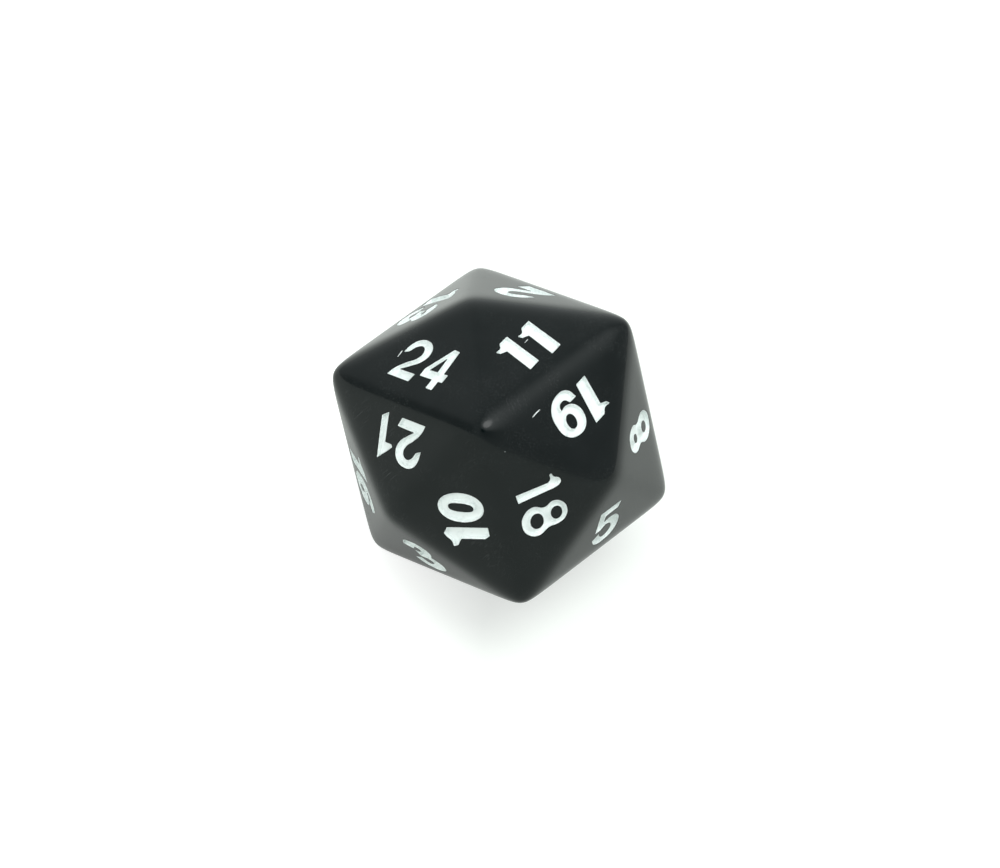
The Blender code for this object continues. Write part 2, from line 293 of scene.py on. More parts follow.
# Cubics through the knots, p(t) = (1-t)^3 a + 3 (1-t)^2 t b + 3 (1-t) t^2 c + t^3 d. A smooth knot's
# handles lie along its mean direction, and a corner's point at its neighbours, a third of the way.
def knotLoop(knots):
    knots = np.array(knots, float)
    at, smooth = knots[:, :2], knots[:, 2:]
    before, after = at - np.roll(at, 1, axis=0), np.roll(at, -1, axis=0) - at
    lengthBefore = np.linalg.norm(before, axis=1, keepdims=True)
    lengthAfter = np.linalg.norm(after, axis=1, keepdims=True)
    heading = before / lengthBefore + after / lengthAfter
    heading = unit(heading) * outlineDetail["handle"]
    ahead = at + np.where(smooth > 0, heading * lengthAfter, after / 3)
    back = at - np.where(smooth > 0, heading * lengthBefore, before / 3)
    t = (np.arange(outlineDetail["knotSteps"]) / outlineDetail["knotSteps"])[None, :, None]
    a, b = at[:, None], ahead[:, None]
    c, d = np.roll(back, -1, axis=0)[:, None], np.roll(at, -1, axis=0)[:, None]
    curve = (1 - t) ** 3 * a + 3 * (1 - t) ** 2 * t * b + 3 * (1 - t) * t ** 2 * c + t ** 3 * d
    return curve.reshape(-1, 2)


# Unit vectors square to a closed loop, on its left, which is out of the recess
def leftOf(loop):
    ahead = unit(np.roll(loop, -1, axis=0) - loop)
    mean = unit(ahead + np.roll(ahead, 1, axis=0))
    return np.stack([-mean[:, 1], mean[:, 0]], axis=1)


# The least distance of each point from a closed loop's straight pieces
def distanceTo(points, loop):
    piece = np.roll(loop, -1, axis=0) - loop
    fromStart = points[:, None] - loop[None]
    share = np.clip(np.sum(fromStart * piece, axis=2) / np.sum(piece ** 2, axis=1), 0, 1)
    return np.min(np.linalg.norm(fromStart - share[..., None] * piece, axis=2), axis=1)


# Moves a loop out by distance, with mitred corners: a step is distance / cos(half the turn), and the
# cosine of half a turn is sqrt((1 + cos(turn)) / 2). Points in the fold of a corner are left out.
def movedOut(loop, distance):
    ahead = unit(np.roll(loop, -1, axis=0) - loop)
    turn = np.sum(ahead * np.roll(ahead, 1, axis=0), axis=1, keepdims=True)
    turn = np.clip(turn, outlineDetail["sharpestTurn"], 1.0)
    moved = loop + leftOf(loop) * distance / np.sqrt((1 + turn) / 2)
    return moved[distanceTo(moved, loop) > abs(distance) * outlineDetail["foldShare"]]


# The same loop with evenly spaced points
def evenLoop(loop, spacing):
    closed = np.vstack([loop, loop[:1]])
    along = np.concatenate([[0.0], np.cumsum(np.linalg.norm(np.diff(closed, axis=0), axis=1))])
    count = max(outlineDetail["fewestPoints"], int(round(along[-1] / spacing)))
    stops = np.linspace(0.0, along[-1], count, endpoint=False)
    return np.stack([np.interp(stops, along, closed[:, 0]), np.interp(stops, along, closed[:, 1])], axis=1)


# Rounds a loop's corners: its harmonics of f turns per metre fade as exp(-(2 pi f softness)^2 / 2)
def softLoop(loop, spacing, softness):
    waves = np.fft.fft(loop[:, 0] + 1j * loop[:, 1])
    turns = np.fft.fftfreq(len(loop), spacing)
    smoothed = np.fft.ifft(waves * np.exp(-0.5 * (2 * np.pi * turns * softness) ** 2))
    return np.stack([smoothed.real, smoothed.imag], axis=1)


# A figure's loops on the face: x becomes stretch * x + lean * (y - 1/2), then comes the height, the corner,
# the weight and the rounding
def figureLoops(outlines, corner, style):
    loops = []
    fine = outlineDetail["spacing"] / 4
    for knots in outlines:
        loop = knotLoop(knots)
        loop[:, 0] = style["stretch"] * loop[:, 0] + style["lean"] * (loop[:, 1] - 0.5)
        loop = loop * style["height"] + corner
        loop = evenLoop(movedOut(loop, style["weight"]), fine)
        loop = softLoop(loop, fine, outlineDetail["cornerSoftness"])
        loops.append(evenLoop(loop, outlineDetail["spacing"]))
    return loops


# What holds for all numbers of one or two figures, then what the number has of its own
def styleOf(number):
    return {**(singleStyle if number < 10 else pairStyle), **ownStyles.get(number, {})}


# The figures of a number, each with the CAD node that holds its paint and its loops on the face
def figuresOf(number):
    style = styleOf(number)
    if number >= 10:
        figures = list(zip(str(number), ("tens", "units")))
    else:
        figures = [(str(number), "")] + ([(".", "dot")] if number in dottedNumbers else [])
    drawings = [ownOutlines.get((number, figure), figureOutlines[figure]) for figure, place in figures]
    widths = np.array([max(x for loop in drawing for x, y, smooth in loop) for drawing in drawings])
    widths *= style["height"] * style["stretch"]
    step = style["gap"] + 2 * style["weight"]
    left = style["shift"] - (widths.sum() + step * (len(widths) - 1)) / 2
    found = []
    for (figure, place), drawing, width in zip(figures, drawings, widths):
        corner = np.array([left, style["middle"] - style["height"] / 2])
        name = f"numeral_{number}_{place}".rstrip("_")
        found.append({"node": name, "loops": figureLoops(drawing, corner, style)})
        left += width + step
    return found


# Whether a loop runs anticlockwise: twice its area is the sum of x dy - y dx
def turnsLeft(loop):
    ahead = np.roll(loop, -1, axis=0)
    return np.sum(loop[:, 0] * ahead[:, 1] - loop[:, 1] * ahead[:, 0]) > 0


# Triangles that fill the loops by the even-odd rule, with spare points in between. The fill works in
# millimetres, because its tolerance is made for numbers of that size.
def fillLoops(loops, extra):
    points = np.vstack(loops + [extra])
    starts = np.cumsum([0] + [len(loop) for loop in loops])
    rings = [list(range(a, b)) for a, b in zip(starts[:-1], starts[1:])]
    rings = [ring if turnsLeft(loop) else ring[::-1] for ring, loop in zip(rings, loops)]
    vectors = [Vector(p) for p in (points / mm).tolist()]
    found = delaunay_2d_cdt(vectors, [], rings, 0, 1e-7, True)
    source = np.array([origin[0] if origin else -1 for origin in found[3]])
    inside = np.array([len(origin) % 2 == 1 for origin in found[5]])
    triangles = source[np.array(found[2])]
    return points, triangles[inside & (triangles >= 0).all(axis=1)]


# What a mesh is gathered in, grid by grid
def emptyShell():
    return {"points": [], "normals": [], "faces": [], "edge": [], "count": 0}


# Adds faces to a shell, each turned so that it looks the way its corners' normals do
def addFaces(shell, points, normals, faces, edge=None):
    corners = points[faces]
    facing = np.cross(corners[:, 1] - corners[:, 0], corners[:, 2] - corners[:, 0])
    wrong = np.sum(facing * normals[faces].mean(axis=1), axis=1) < 0
    faces = np.where(wrong[:, None], faces[:, ::-1], faces)
    shell["points"].append(points)
    shell["normals"].append(normals)
    shell["faces"].append(faces + shell["count"])
    shell["edge"].append(np.zeros(len(points)) if edge is None else edge)
    shell["count"] += len(points)


# Adds a grid of rows and columns, whose last column meets the first where it is closed
def addGrid(shell, points, normals, closed=False, edge=None):
    rows, columns = points.shape[:2]
    index = np.arange(rows * columns).reshape(rows, columns)
    if closed:
        index = np.hstack([index, index[:, :1]])
    quads = np.stack([index[:-1, :-1], index[1:, :-1], index[1:, 1:], index[:-1, 1:]], axis=-1)
    flatEdge = None if edge is None else edge.reshape(-1)
    addFaces(shell, points.reshape(-1, 3), normals.reshape(-1, 3), quads.reshape(-1, 4), flatEdge)


# A face's ground at x, y: places, normals and how near they are to an edge
def groundOf(face, x, y):
    x, y = np.broadcast_arrays(x, y)
    return tumbled(face["foot"] + np.stack([x, y, 0 * x], axis=-1) @ face["axes"])


# From a face's own x, y and height over its ground to the die's place
def onFace(face, x, y, z):
    x, y, z = np.broadcast_arrays(x, y, z)
    return groundOf(face, x, y)[0] + z[..., None] * face["axes"][2]


# A direction in the face's own x, y and z, turned to the die's
def turnedTo(face, x, y, z):
    return np.stack(np.broadcast_arrays(x, y, z), axis=-1) @ face["axes"]


# Makes the mesh: points within a ten-thousandth of a millimetre become one, faces drop the corners that
# they then have twice, and each corner keeps the normal it was given
def makePiece(name, shell, material):
    points, normals, edge = (np.concatenate(shell[key]) for key in ("points", "normals", "edge"))
    places = np.round(points / (0.0001 * mm))
    _, first, index = np.unique(places, axis=0, return_index=True, return_inverse=True)
    index = index.reshape(-1)
    faces, corners = [], []
    for group in shell["faces"]:
        merged = index[group]
        repeated = (merged == np.roll(merged, 1, axis=1)).any(axis=1)
        faces += merged[~repeated].tolist()
        corners.append(group[~repeated].reshape(-1))
        for face, corner in zip(merged[repeated], group[repeated]):
            kept = face != np.roll(face, 1)
            faces.append(face[kept].tolist())
            corners.append(corner[kept])
    mesh = bpy.data.meshes.new(name)
    mesh.from_pydata(points[first].tolist(), [], faces)
    mesh.attributes.new("edge", "FLOAT", "POINT").data.foreach_set("value", edge[first].astype(np.float32))
    mesh.shade_smooth()
    mesh.normals_split_custom_set(unit(normals[np.concatenate(corners)]).tolist())
    mesh.materials.append(material)
    piece = bpy.data.objects.new(name, mesh)
    bpy.context.scene.collection.objects.link(piece)
    return piece


recess = {
    "depth": 0.45 * mm,
    "rimRadius": 0.030 * mm,    # rounding where a figure's wall meets the face
    "rimSteps": 4,
    "rimRoom": 0.8,             # most that a rim takes of the room beside its outline
}


# A face's sharp corners, and the corners of its ground inside the border
def faceTriangle():
    half = halfEdge()
    height = half * np.hypot(1.0, blankShape["apexRatio"] - 1.0)
    corners = np.array([[-half, 0.0], [half, 0.0], [0.0, height]])
    sides = np.linalg.norm(np.roll(corners, -1, axis=0) - np.roll(corners, -2, axis=0), axis=1)
    centre = (corners * sides[:, None]).sum(axis=0) / sides.sum()
    return corners, centre + (corners - centre) * (1 - blankShape["border"] / centre[1])


# Shares of the way along an edge, closer together towards its ends: (1 - cos(pi u)) / 2, half mixed with u
def alongEdge():
    u = np.linspace(0, 1, blankShape["borderColumns"] + 1)
    return (0.5 * u + 0.25 * (1 - np.cos(np.pi * u)))[:, None]


# The strip along a face's edges: each side's grid runs from the sharp edge in to the ground, on straight
# lines, with rows that crowd towards the edge
def addBorder(shell, face):
    corners, inner = faceTriangle()
    along = alongEdge()
    rows = (np.linspace(0, 1, blankShape["borderRows"] + 1) ** blankShape["borderCrowding"])[:, None, None]
    for k in range(3):
        edgeLine = corners[k] + (corners[(k + 1) % 3] - corners[k]) * along
        groundLine = inner[k] + (inner[(k + 1) % 3] - inner[k]) * along
        grid = edgeLine + (groundLine - edgeLine) * rows
        points, normals, edge = groundOf(face, grid[..., 0], grid[..., 1])
        addGrid(shell, points, normals, False, edge)


# Loose points on the ground in a square grid, clear of its sides and of the figures
def supportPoints(loops):
    inner = faceTriangle()[1]
    spacing = blankShape["groundSpacing"]
    least = spacing * blankShape["groundRoom"]
    columns = np.arange(inner[0, 0], inner[1, 0], spacing)
    rows = np.arange(inner[0, 1], inner[2, 1], spacing)
    grid = np.stack(np.meshgrid(columns, rows), axis=-1).reshape(-1, 2)
    ahead = unit(np.roll(inner, -1, axis=0) - inner)
    inward = np.stack([-ahead[:, 1], ahead[:, 0]], axis=1)
    room = np.min([(grid - inner[k]) @ inward[k] for k in range(3)], axis=0)
    outline = np.vstack(loops)
    clear = np.min(np.linalg.norm(grid[:, None] - outline[None], axis=2), axis=1)
    return grid[(room > least) & (clear > least)]


# The radius of the largest circle that touches a loop's point on one side, 1 out of the recess or -1 into
# it, and is free of the loops: the least of |q - p|^2 / (2 (q - p) . way) over all the other points q
def roomBeside(loop, loops, side):
    way = leftOf(loop) * side
    others = np.vstack(loops)
    gap = others[None] - loop[:, None]
    forward = np.einsum("ijk,ik->ij", gap, way)
    radius = np.sum(gap ** 2, axis=2) / (2 * np.maximum(forward, 1e-12))
    radius[forward < 1e-9] = 1.0
    return radius.min(axis=1)


# The ground with its figures sunk in: a rim turns down a quarter circle, then a wall and a level floor
def addGround(shell, face, loops):
    inner = faceTriangle()[1]
    rim, depth = recess["rimRadius"], recess["depth"]
    angle = np.linspace(0, np.pi / 2, recess["rimSteps"] + 1)[:, None]
    rims = []
    for loop in loops:
        out = leftOf(loop)
        step = np.minimum(rim, recess["rimRoom"] * roomBeside(loop, loops, 1))
        rims.append(loop + out * step[:, None])
        away = step * (1 - np.sin(angle))
        x, y = loop[:, 0] + out[:, 0] * away, loop[:, 1] + out[:, 1] * away
        up = groundOf(face, x, y)[1]
        sideways = turnedTo(face, out[:, 0] + 0 * x, out[:, 1] + 0 * x, 0.0)
        normals = up * np.cos(angle)[..., None] - sideways * np.sin(angle)[..., None]
        addGrid(shell, onFace(face, x, y, -rim * (1 - np.cos(angle))), normals, True)
        height = np.array([[-rim], [-depth]])
        addGrid(shell, onFace(face, loop[:, 0], loop[:, 1], height), -sideways[:2], True)
    side = [inner[k] + (inner[(k + 1) % 3] - inner[k]) * alongEdge()[:-1] for k in range(3)]
    flat, triangles = fillLoops([np.vstack(side)] + rims, supportPoints(loops))
    points, normals, edge = groundOf(face, flat[:, 0], flat[:, 1])
    addFaces(shell, points, normals, triangles, edge)
    flat, triangles = fillLoops(loops, np.zeros((0, 2)))
    up = turnedTo(face, 0 * flat[:, 0], 0.0, 1.0)
    addFaces(shell, onFace(face, flat[:, 0], flat[:, 1], -depth), up, triangles)


paintCoat = {
    "gap": 0.004 * mm,          # between the coat and the resin
    "lip": 0.018 * mm,          # how far its edge stays below the face
    "lipSection": ((0.35, 0.9), (0.8, 1.6), (1.0, 3.5)),    # steps in, in walls, and down, in lips
    "lipRipple": 0.008 * mm,
    "wall": 0.045 * mm,         # thickness on the walls
    "floor": 0.090 * mm,        # thickness on the floor
    "fillet": 0.090 * mm,       # where the wall's coat runs out on the floor
    "filletSteps": 5,
    "room": 0.85,               # most that the section takes of the room in the recess
}


# Normals of a grid that is closed round its columns, from the cross product of its two directions
def sectionNormals(ring):
    across = np.roll(ring, -1, axis=1) - np.roll(ring, 1, axis=1)
    down = np.gradient(ring, axis=0)
    return unit(np.cross(down, across))


# How uneven the lip is round a loop, the mean of three sine waves
def lipRipple(count, seed):
    along = np.linspace(0, 2 * np.pi, count, endpoint=False)
    waves = np.sin(3 * along + seed) + np.sin(7 * along + 2.1 * seed) + np.sin(13 * along + 0.7 * seed)
    return paintCoat["lipRipple"] * waves / 3


# The coat's inner side, as steps in from the wall and heights: over the lip, then down and along a fillet,
# wall + fillet * (1 - cos(a)) and floor + fillet * (1 - sin(a)) for a quarter turn
def coatSection(floor):
    coat = paintCoat
    turn = np.linspace(0, np.pi / 2, coat["filletSteps"] + 1)[1:]
    lip = np.array(coat["lipSection"]) * (coat["wall"], -coat["lip"])
    step = coat["wall"] + coat["fillet"] * (1 - np.cos(turn))
    height = floor + coat["fillet"] * (1 - np.sin(turn))
    return np.vstack([lip, np.stack([step, height], axis=1)])


# A closed coat of paint that lines a recess. Its section runs up the resin's wall, over a lip, down the
# inner side and along a fillet to the floor. Steps in from the wall shrink where the recess is narrow.
def makeCoat(figure, face, material):
    shell = emptyShell()
    coat = paintCoat
    loops = figure["loops"]
    bottom = -recess["depth"] + coat["gap"]
    floor = bottom + coat["floor"]
    section = np.vstack([[(0.0, bottom), (0.0, -coat["lip"])], coatSection(floor)])
    steps, height = section[:, :1], section[:, 1:]
    fade = np.clip((height - floor) / (-coat["lip"] - floor), 0, 1)
    inside, outside = [], []
    for number, loop in enumerate(loops):
        out = leftOf(loop)
        squeeze = np.minimum(1.0, roomBeside(loop, loops, -1) * coat["room"] / steps[-1])
        away = coat["gap"] + steps * squeeze
        x, y = loop[:, 0] - out[:, 0] * away, loop[:, 1] - out[:, 1] * away
        ripple = lipRipple(len(loop), sum(map(ord, figure["node"])) + number)
        ring = onFace(face, x, y, height + fade * ripple)
        sideways = turnedTo(face, out[:, 0] + 0 * x[:2], out[:, 1] + 0 * x[:2], 0.0)
        addGrid(shell, ring[:2], sideways, True)
        addGrid(shell, ring[1:], sectionNormals(ring)[1:], True, fade[1:] + 0 * x[1:])
        outside.append(np.stack([x[0], y[0]], axis=1))
        inside.append(np.stack([x[-1], y[-1]], axis=1))
    for lines, z, facing in ((outside, bottom, -1.0), (inside, floor, 1.0)):
        flat, triangles = fillLoops(lines, np.zeros((0, 2)))
        upright = turnedTo(face, 0 * flat[:, 0], 0.0, facing)
        addFaces(shell, onFace(face, flat[:, 0], flat[:, 1], z), upright, triangles)
    piece = makePiece(figure["node"].replace("numeral", "paint"), shell, material)
    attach(piece, "root")
    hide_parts(figure["node"])
    return piece


# Slivers of paint left beside the figures: face, x and y of the middle, length, width and turn in degrees
slivers = {
    "paint_sliver_19": (19, 3.04 * mm, 1.43 * mm, 0.86 * mm, 0.070 * mm, 9.0),
    "paint_sliver_24": (24, -2.44 * mm, 2.92 * mm, 0.56 * mm, 0.080 * mm, 84.0),
    "paint_sliver_11": (11, 0.34 * mm, 3.16 * mm, 0.42 * mm, 0.040 * mm, 12.0),
}
sliverShape = {
    "height": 0.012 * mm,
    "sunk": 0.5,           # depth in the resin, in heights
    "ragged": 0.25,        # how uneven the width is
    "rows": 7,             # of points, from the middle to the rim
    "columns": 48,
}


# A flat lens set a little into the resin: at a share s of the way out, it is height * (1 - s^2) high
def makeSliver(name, material):
    number, x, y, length, width, turn = slivers[name]
    outward = np.linspace(0, 1, sliverShape["rows"])
    share = np.concatenate([outward, outward[-2::-1]])[:, None]
    facing = np.where(np.arange(len(share))[:, None] < len(outward), 1.0, -1.0)
    height = sliverShape["height"] * (1 - share ** 2) * np.where(facing > 0, 1.0, -sliverShape["sunk"])
    around = np.linspace(0, 2 * np.pi, sliverShape["columns"], endpoint=False)
    uneven = 1 + sliverShape["ragged"] * np.sin(3 * around + number)
    along = share * np.cos(around) * length / 2
    across = share * np.sin(around) * uneven * width / 2
    cos, sin = np.cos(np.radians(turn)), np.sin(np.radians(turn))
    ring = onFace(faces[number], x + along * cos - across * sin, y + along * sin + across * cos, height)
    shell = emptyShell()
    addGrid(shell, ring, turnedTo(faces[number], 0 * along, 0 * along, facing), True)
    piece = makePiece(name, shell, material)
    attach(piece, "root")


# A material with its nodes, its links and its shader
def newMaterial(name):
    material = bpy.data.materials.new(name)
    material.use_nodes = True
    nodes, links = material.node_tree.nodes, material.node_tree.links
    return material, nodes, links, nodes["Principled BSDF"]


# Adds a node with values on its inputs, by name or number, and with its own settings
def addNode(nodes, kind, inputs=None, **settings):
    node = nodes.new(kind)
    for key, value in settings.items():
        setattr(node, key, value)
    for key, value in (inputs or {}).items():
        node.inputs[key].default_value = value
    return node


# Noise on a piece's own coordinates. Its marks have the size given along each axis, before they are turned.
def marks(nodes, links, size, turn=(0.0, 0.0, 0.0), detail=2.0):
    place = addNode(nodes, "ShaderNodeTexCoord")
    mapping = addNode(nodes, "ShaderNodeMapping", {"Rotation": turn, "Scale": size}, vector_type="TEXTURE")
    links.new(place.outputs["Object"], mapping.inputs["Vector"])
    noise = addNode(nodes, "ShaderNodeTexNoise", {"Scale": 1.0, "Detail": detail})
    links.new(mapping.outputs["Vector"], noise.inputs["Vector"])
    return noise.outputs["Fac"]


# Spreads the values from low to high over the two results
def spread(nodes, links, value, low, high, results=(0.0, 1.0)):
    node = addNode(nodes, "ShaderNodeMapRange",
                   {"From Min": low, "From Max": high, "To Min": results[0], "To Max": results[1]})
    links.new(value, node.inputs["Value"])
    return node.outputs["Result"]


# Two values joined by a sum, a product and so on
def joined(nodes, links, operation, first, second):
    node = addNode(nodes, "ShaderNodeMath", operation=operation)
    links.new(first, node.inputs[0])
    links.new(second, node.inputs[1])
    return node.outputs[0]


# Goes from the first colour to the second by the share
def blended(nodes, links, share, first, second):
    node = addNode(nodes, "ShaderNodeMix", data_type="RGBA")
    links.new(share, node.inputs["Factor"])
    for key, colour in (("A", first), ("B", second)):
        if isinstance(colour, tuple):
            node.inputs[key].default_value = colour
        else:
            links.new(colour, node.inputs[key])
    return node.outputs["Result"]


resinLook = {
    "colour": (0.0008, 0.0032, 0.0034, 1.0),
    "cloudColour": (0.0030, 0.0056, 0.0060, 1.0),
    "cloudSize": 2.4 * mm,
    "cloudRange": (0.3, 0.7),     # noise over which the colour changes
    "ior": 1.37,
    "roughness": (0.07, 0.13),
    "roughRange": (0.35, 0.65),
    "grainSize": 0.25 * mm,       # of the wear on the edges
    "grainRange": (0.4, 0.65),
    "grainLeast": 0.2,            # wear where the grain is lowest
    "wearRange": (0.3, 1.0),      # how near to an edge wear sets in and is complete
    "peelSize": 1.1 * mm,         # slow waves that tumbling leaves
    "peelHeight": 0.0020 * mm,
    "patchSize": 3.2 * mm,        # of the parts that have scratches
    "patchRange": (0.42, 0.60),   # noise over which scratches come in
    "scratchSize": (1.6 * mm, 0.035 * mm, 0.035 * mm),
    "scratchRange": (0.69, 0.77),
    "scratchTurns": ((0.3, 0.5, 0.2), (0.9, -0.4, 1.3), (-0.5, 1.1, 2.3)),
    "scratchDepth": 0.004 * mm,
    "scratchRoughness": 0.16,
    "scratchColour": (0.050, 0.056, 0.056, 1.0),
    "edgeRoughness": 0.05,        # more at worn edges
    "speckSpacing": 1.5 * mm,
    "speckRadius": (0.030, 0.015),    # where a speck starts and is complete, in spacings
    "speckRange": (0.58, 0.62),   # cell values over which a cell has a speck
    "speckColour": (0.26, 0.28, 0.28, 1.0),
}


# Black resin: clouds in colour and roughness, then worn edges, scratches, specks and slow waves
def makeResin():
    look = resinLook
    material, nodes, links, shader = newMaterial("black_resin")
    shader.inputs["IOR"].default_value = look["ior"]
    cloud = marks(nodes, links, (look["cloudSize"],) * 3, detail=4.0)
    rough = spread(nodes, links, cloud, *look["roughRange"], look["roughness"])
    paler = spread(nodes, links, cloud, *look["cloudRange"])
    colour = blended(nodes, links, paler, look["colour"], look["cloudColour"])

    # worn edges shine a little less
    edge = addNode(nodes, "ShaderNodeAttribute", attribute_name="edge")
    grain = marks(nodes, links, (look["grainSize"],) * 3, detail=3.0)
    grain = spread(nodes, links, grain, *look["grainRange"], (look["grainLeast"], 1.0))
    worn = joined(nodes, links, "MULTIPLY", edge.outputs["Fac"], grain)
    wear = spread(nodes, links, worn, *look["wearRange"], (0.0, look["edgeRoughness"]))
    rough = joined(nodes, links, "ADD", rough, wear)

    # fine scratches in three directions, thickest where a slow noise lets them through
    patches = spread(nodes, links, marks(nodes, links, (look["patchSize"],) * 3), *look["patchRange"])
    scratch = None
    for turn in look["scratchTurns"]:
        fibre = marks(nodes, links, look["scratchSize"], turn, 1.0)
        fibre = spread(nodes, links, fibre, *look["scratchRange"])
        scratch = fibre if scratch is None else joined(nodes, links, "MAXIMUM", scratch, fibre)
    scratch = joined(nodes, links, "MULTIPLY", scratch, patches)
    rougher = spread(nodes, links, scratch, 0.0, 1.0, (0.0, look["scratchRoughness"]))
    rough = joined(nodes, links, "ADD", rough, rougher)
    colour = blended(nodes, links, scratch, colour, look["scratchColour"])

    # a few pale specks of dust: the middles of some cells
    place = addNode(nodes, "ShaderNodeTexCoord")
    cells = addNode(nodes, "ShaderNodeTexVoronoi", {"Scale": 1 / look["speckSpacing"]})
    links.new(place.outputs["Object"], cells.inputs["Vector"])
    near = spread(nodes, links, cells.outputs["Distance"], *look["speckRadius"])
    some = spread(nodes, links, cells.outputs["Color"], *look["speckRange"])
    speck = joined(nodes, links, "MULTIPLY", near, some)
    colour = blended(nodes, links, speck, colour, look["speckColour"])

    links.new(rough, shader.inputs["Roughness"])
    links.new(colour, shader.inputs["Base Color"])
    peel = addNode(nodes, "ShaderNodeBump", {"Strength": 1.0, "Distance": look["peelHeight"]})
    links.new(marks(nodes, links, (look["peelSize"],) * 3, detail=1.0), peel.inputs["Height"])
    cut = addNode(nodes, "ShaderNodeBump", {"Strength": 1.0, "Distance": look["scratchDepth"]}, invert=True)
    links.new(scratch, cut.inputs["Height"])
    links.new(peel.outputs["Normal"], cut.inputs["Normal"])
    links.new(cut.outputs["Normal"], shader.inputs["Normal"])
    return material


paintLook = {
    "colour": (0.91, 0.955, 0.94, 1.0),
    "thinColour": (0.74, 0.79, 0.78, 1.0),    # where the resin shows through a little
    "dirtColour": (0.42, 0.44, 0.43, 1.0),
    "cloudSize": 0.55 * mm,
    "thinRange": (0.54, 0.74),     # noise over which the paint gets thin
    "thinMost": 0.6,
    "dirtRange": (0.38, 0.48),
    "dirtMost": 0.35,
    "roughness": (0.40, 0.60),
    "roughRange": (0.35, 0.65),
    "unevenSize": 0.20 * mm,
    "raggedRange": (0.40, 0.62),   # the same noise, over which the lip gets thin
    "unevenHeight": 0.014 * mm,
    "grainSize": 0.05 * mm,
    "grainHeight": 0.0025 * mm,
}


# White paint: greyer where it is thin, in clouds and along its ragged lip, dirty in spots, and lumpy
def makePaint():
    look = paintLook
    material, nodes, links, shader = newMaterial("white_paint")
    cloud = marks(nodes, links, (look["cloudSize"],) * 3, detail=3.0)
    uneven = marks(nodes, links, (look["unevenSize"],) * 3, detail=2.0)
    grain = marks(nodes, links, (look["grainSize"],) * 3, detail=2.0)
    lip = addNode(nodes, "ShaderNodeAttribute", attribute_name="edge")
    thin = spread(nodes, links, cloud, *look["thinRange"], (0.0, look["thinMost"]))
    ragged = spread(nodes, links, uneven, *look["raggedRange"])
    ragged = joined(nodes, links, "MULTIPLY", lip.outputs["Fac"], ragged)
    thin = joined(nodes, links, "MAXIMUM", thin, ragged)
    colour = blended(nodes, links, thin, look["colour"], look["thinColour"])
    dirt = joined(nodes, links, "MULTIPLY", uneven, cloud)
    dirt = spread(nodes, links, dirt, *look["dirtRange"], (0.0, look["dirtMost"]))
    links.new(blended(nodes, links, dirt, colour, look["dirtColour"]), shader.inputs["Base Color"])
    rough = spread(nodes, links, cloud, *look["roughRange"], look["roughness"])
    links.new(rough, shader.inputs["Roughness"])
    lumps = addNode(nodes, "ShaderNodeBump", {"Strength": 1.0, "Distance": look["unevenHeight"]})
    links.new(uneven, lumps.inputs["Height"])
    fine = addNode(nodes, "ShaderNodeBump", {"Strength": 1.0, "Distance": look["grainHeight"]})
    links.new(grain, fine.inputs["Height"])
    links.new(lumps.outputs["Normal"], fine.inputs["Normal"])
    links.new(fine.outputs["Normal"], shader.inputs["Normal"])
    return material


studio = {
    "floorSize": 3.0,
    "floorColour": (0.495, 0.525, 0.49, 1.0),
    "floorRoughness": 0.9,
    # Glow added to the floor for the camera and for reflections: the direction in degrees from +X towards
    # +Y along which it grows, the two places on that line, and the strength at each. For the camera it
    # makes the floor white and paints shade on it, lightest towards 130 degrees and darker on the other
    # side of the die;
    # in reflections it is a painted reflection, a floor that grows brighter towards 40 degrees.
    # painted shade: the camera's white glow is weaker on the side away from 130 degrees, so the shadow
    # shows darker there
    "floorWhiteAndPaintedShade": (130.0, -1.0 * mm, 7.0 * mm, 0.53, 0.82),
    # painted reflection: a glow seen only in reflections, brighter towards 40 degrees
    "floorPaintedReflection": (40.0, -35.0 * mm, 30.0 * mm, 0.15, 0.44),
    "worldColour": (0.94, 1.0, 0.99, 1.0),
    "worldStrength": 0.57,
    "backdropColour": (1.0, 1.0, 1.0, 1.0),
    # Soft brighter and darker parts of the room: azimuth, elevation, radius in degrees, and what each adds
    "roomLights": (
        (42.0, 6.0, 58.0, 0.55),
        (95.0, 28.0, 35.0, 0.14),
        (-74.0, 72.0, 42.0, 1.40),
        (-140.0, 43.0, 19.0, -0.34),    # whoever looks at the die stands here
        (-124.0, 38.0, 46.0, -0.24),
        (138.0, 2.0, 30.0, -0.22),
    ),
    # Lamps: azimuth, elevation, distance, size, power, and whether the resin mirrors it
    "lamps": (
        (-78.0, 75.0, 0.70, 0.44, 1.45, True),
        (165.0, 28.0, 0.80, 0.70, 1.7, False),
        (-146.0, 12.0, 0.80, 0.70, 0.9, False),
    ),
}


# The unit vector towards an azimuth and elevation in degrees
def directionTo(azimuth, elevation):
    azimuth, elevation = np.radians(azimuth), np.radians(elevation)
    flat = np.cos(elevation)
    return Vector((flat * np.cos(azimuth), flat * np.sin(azimuth), np.sin(elevation)))
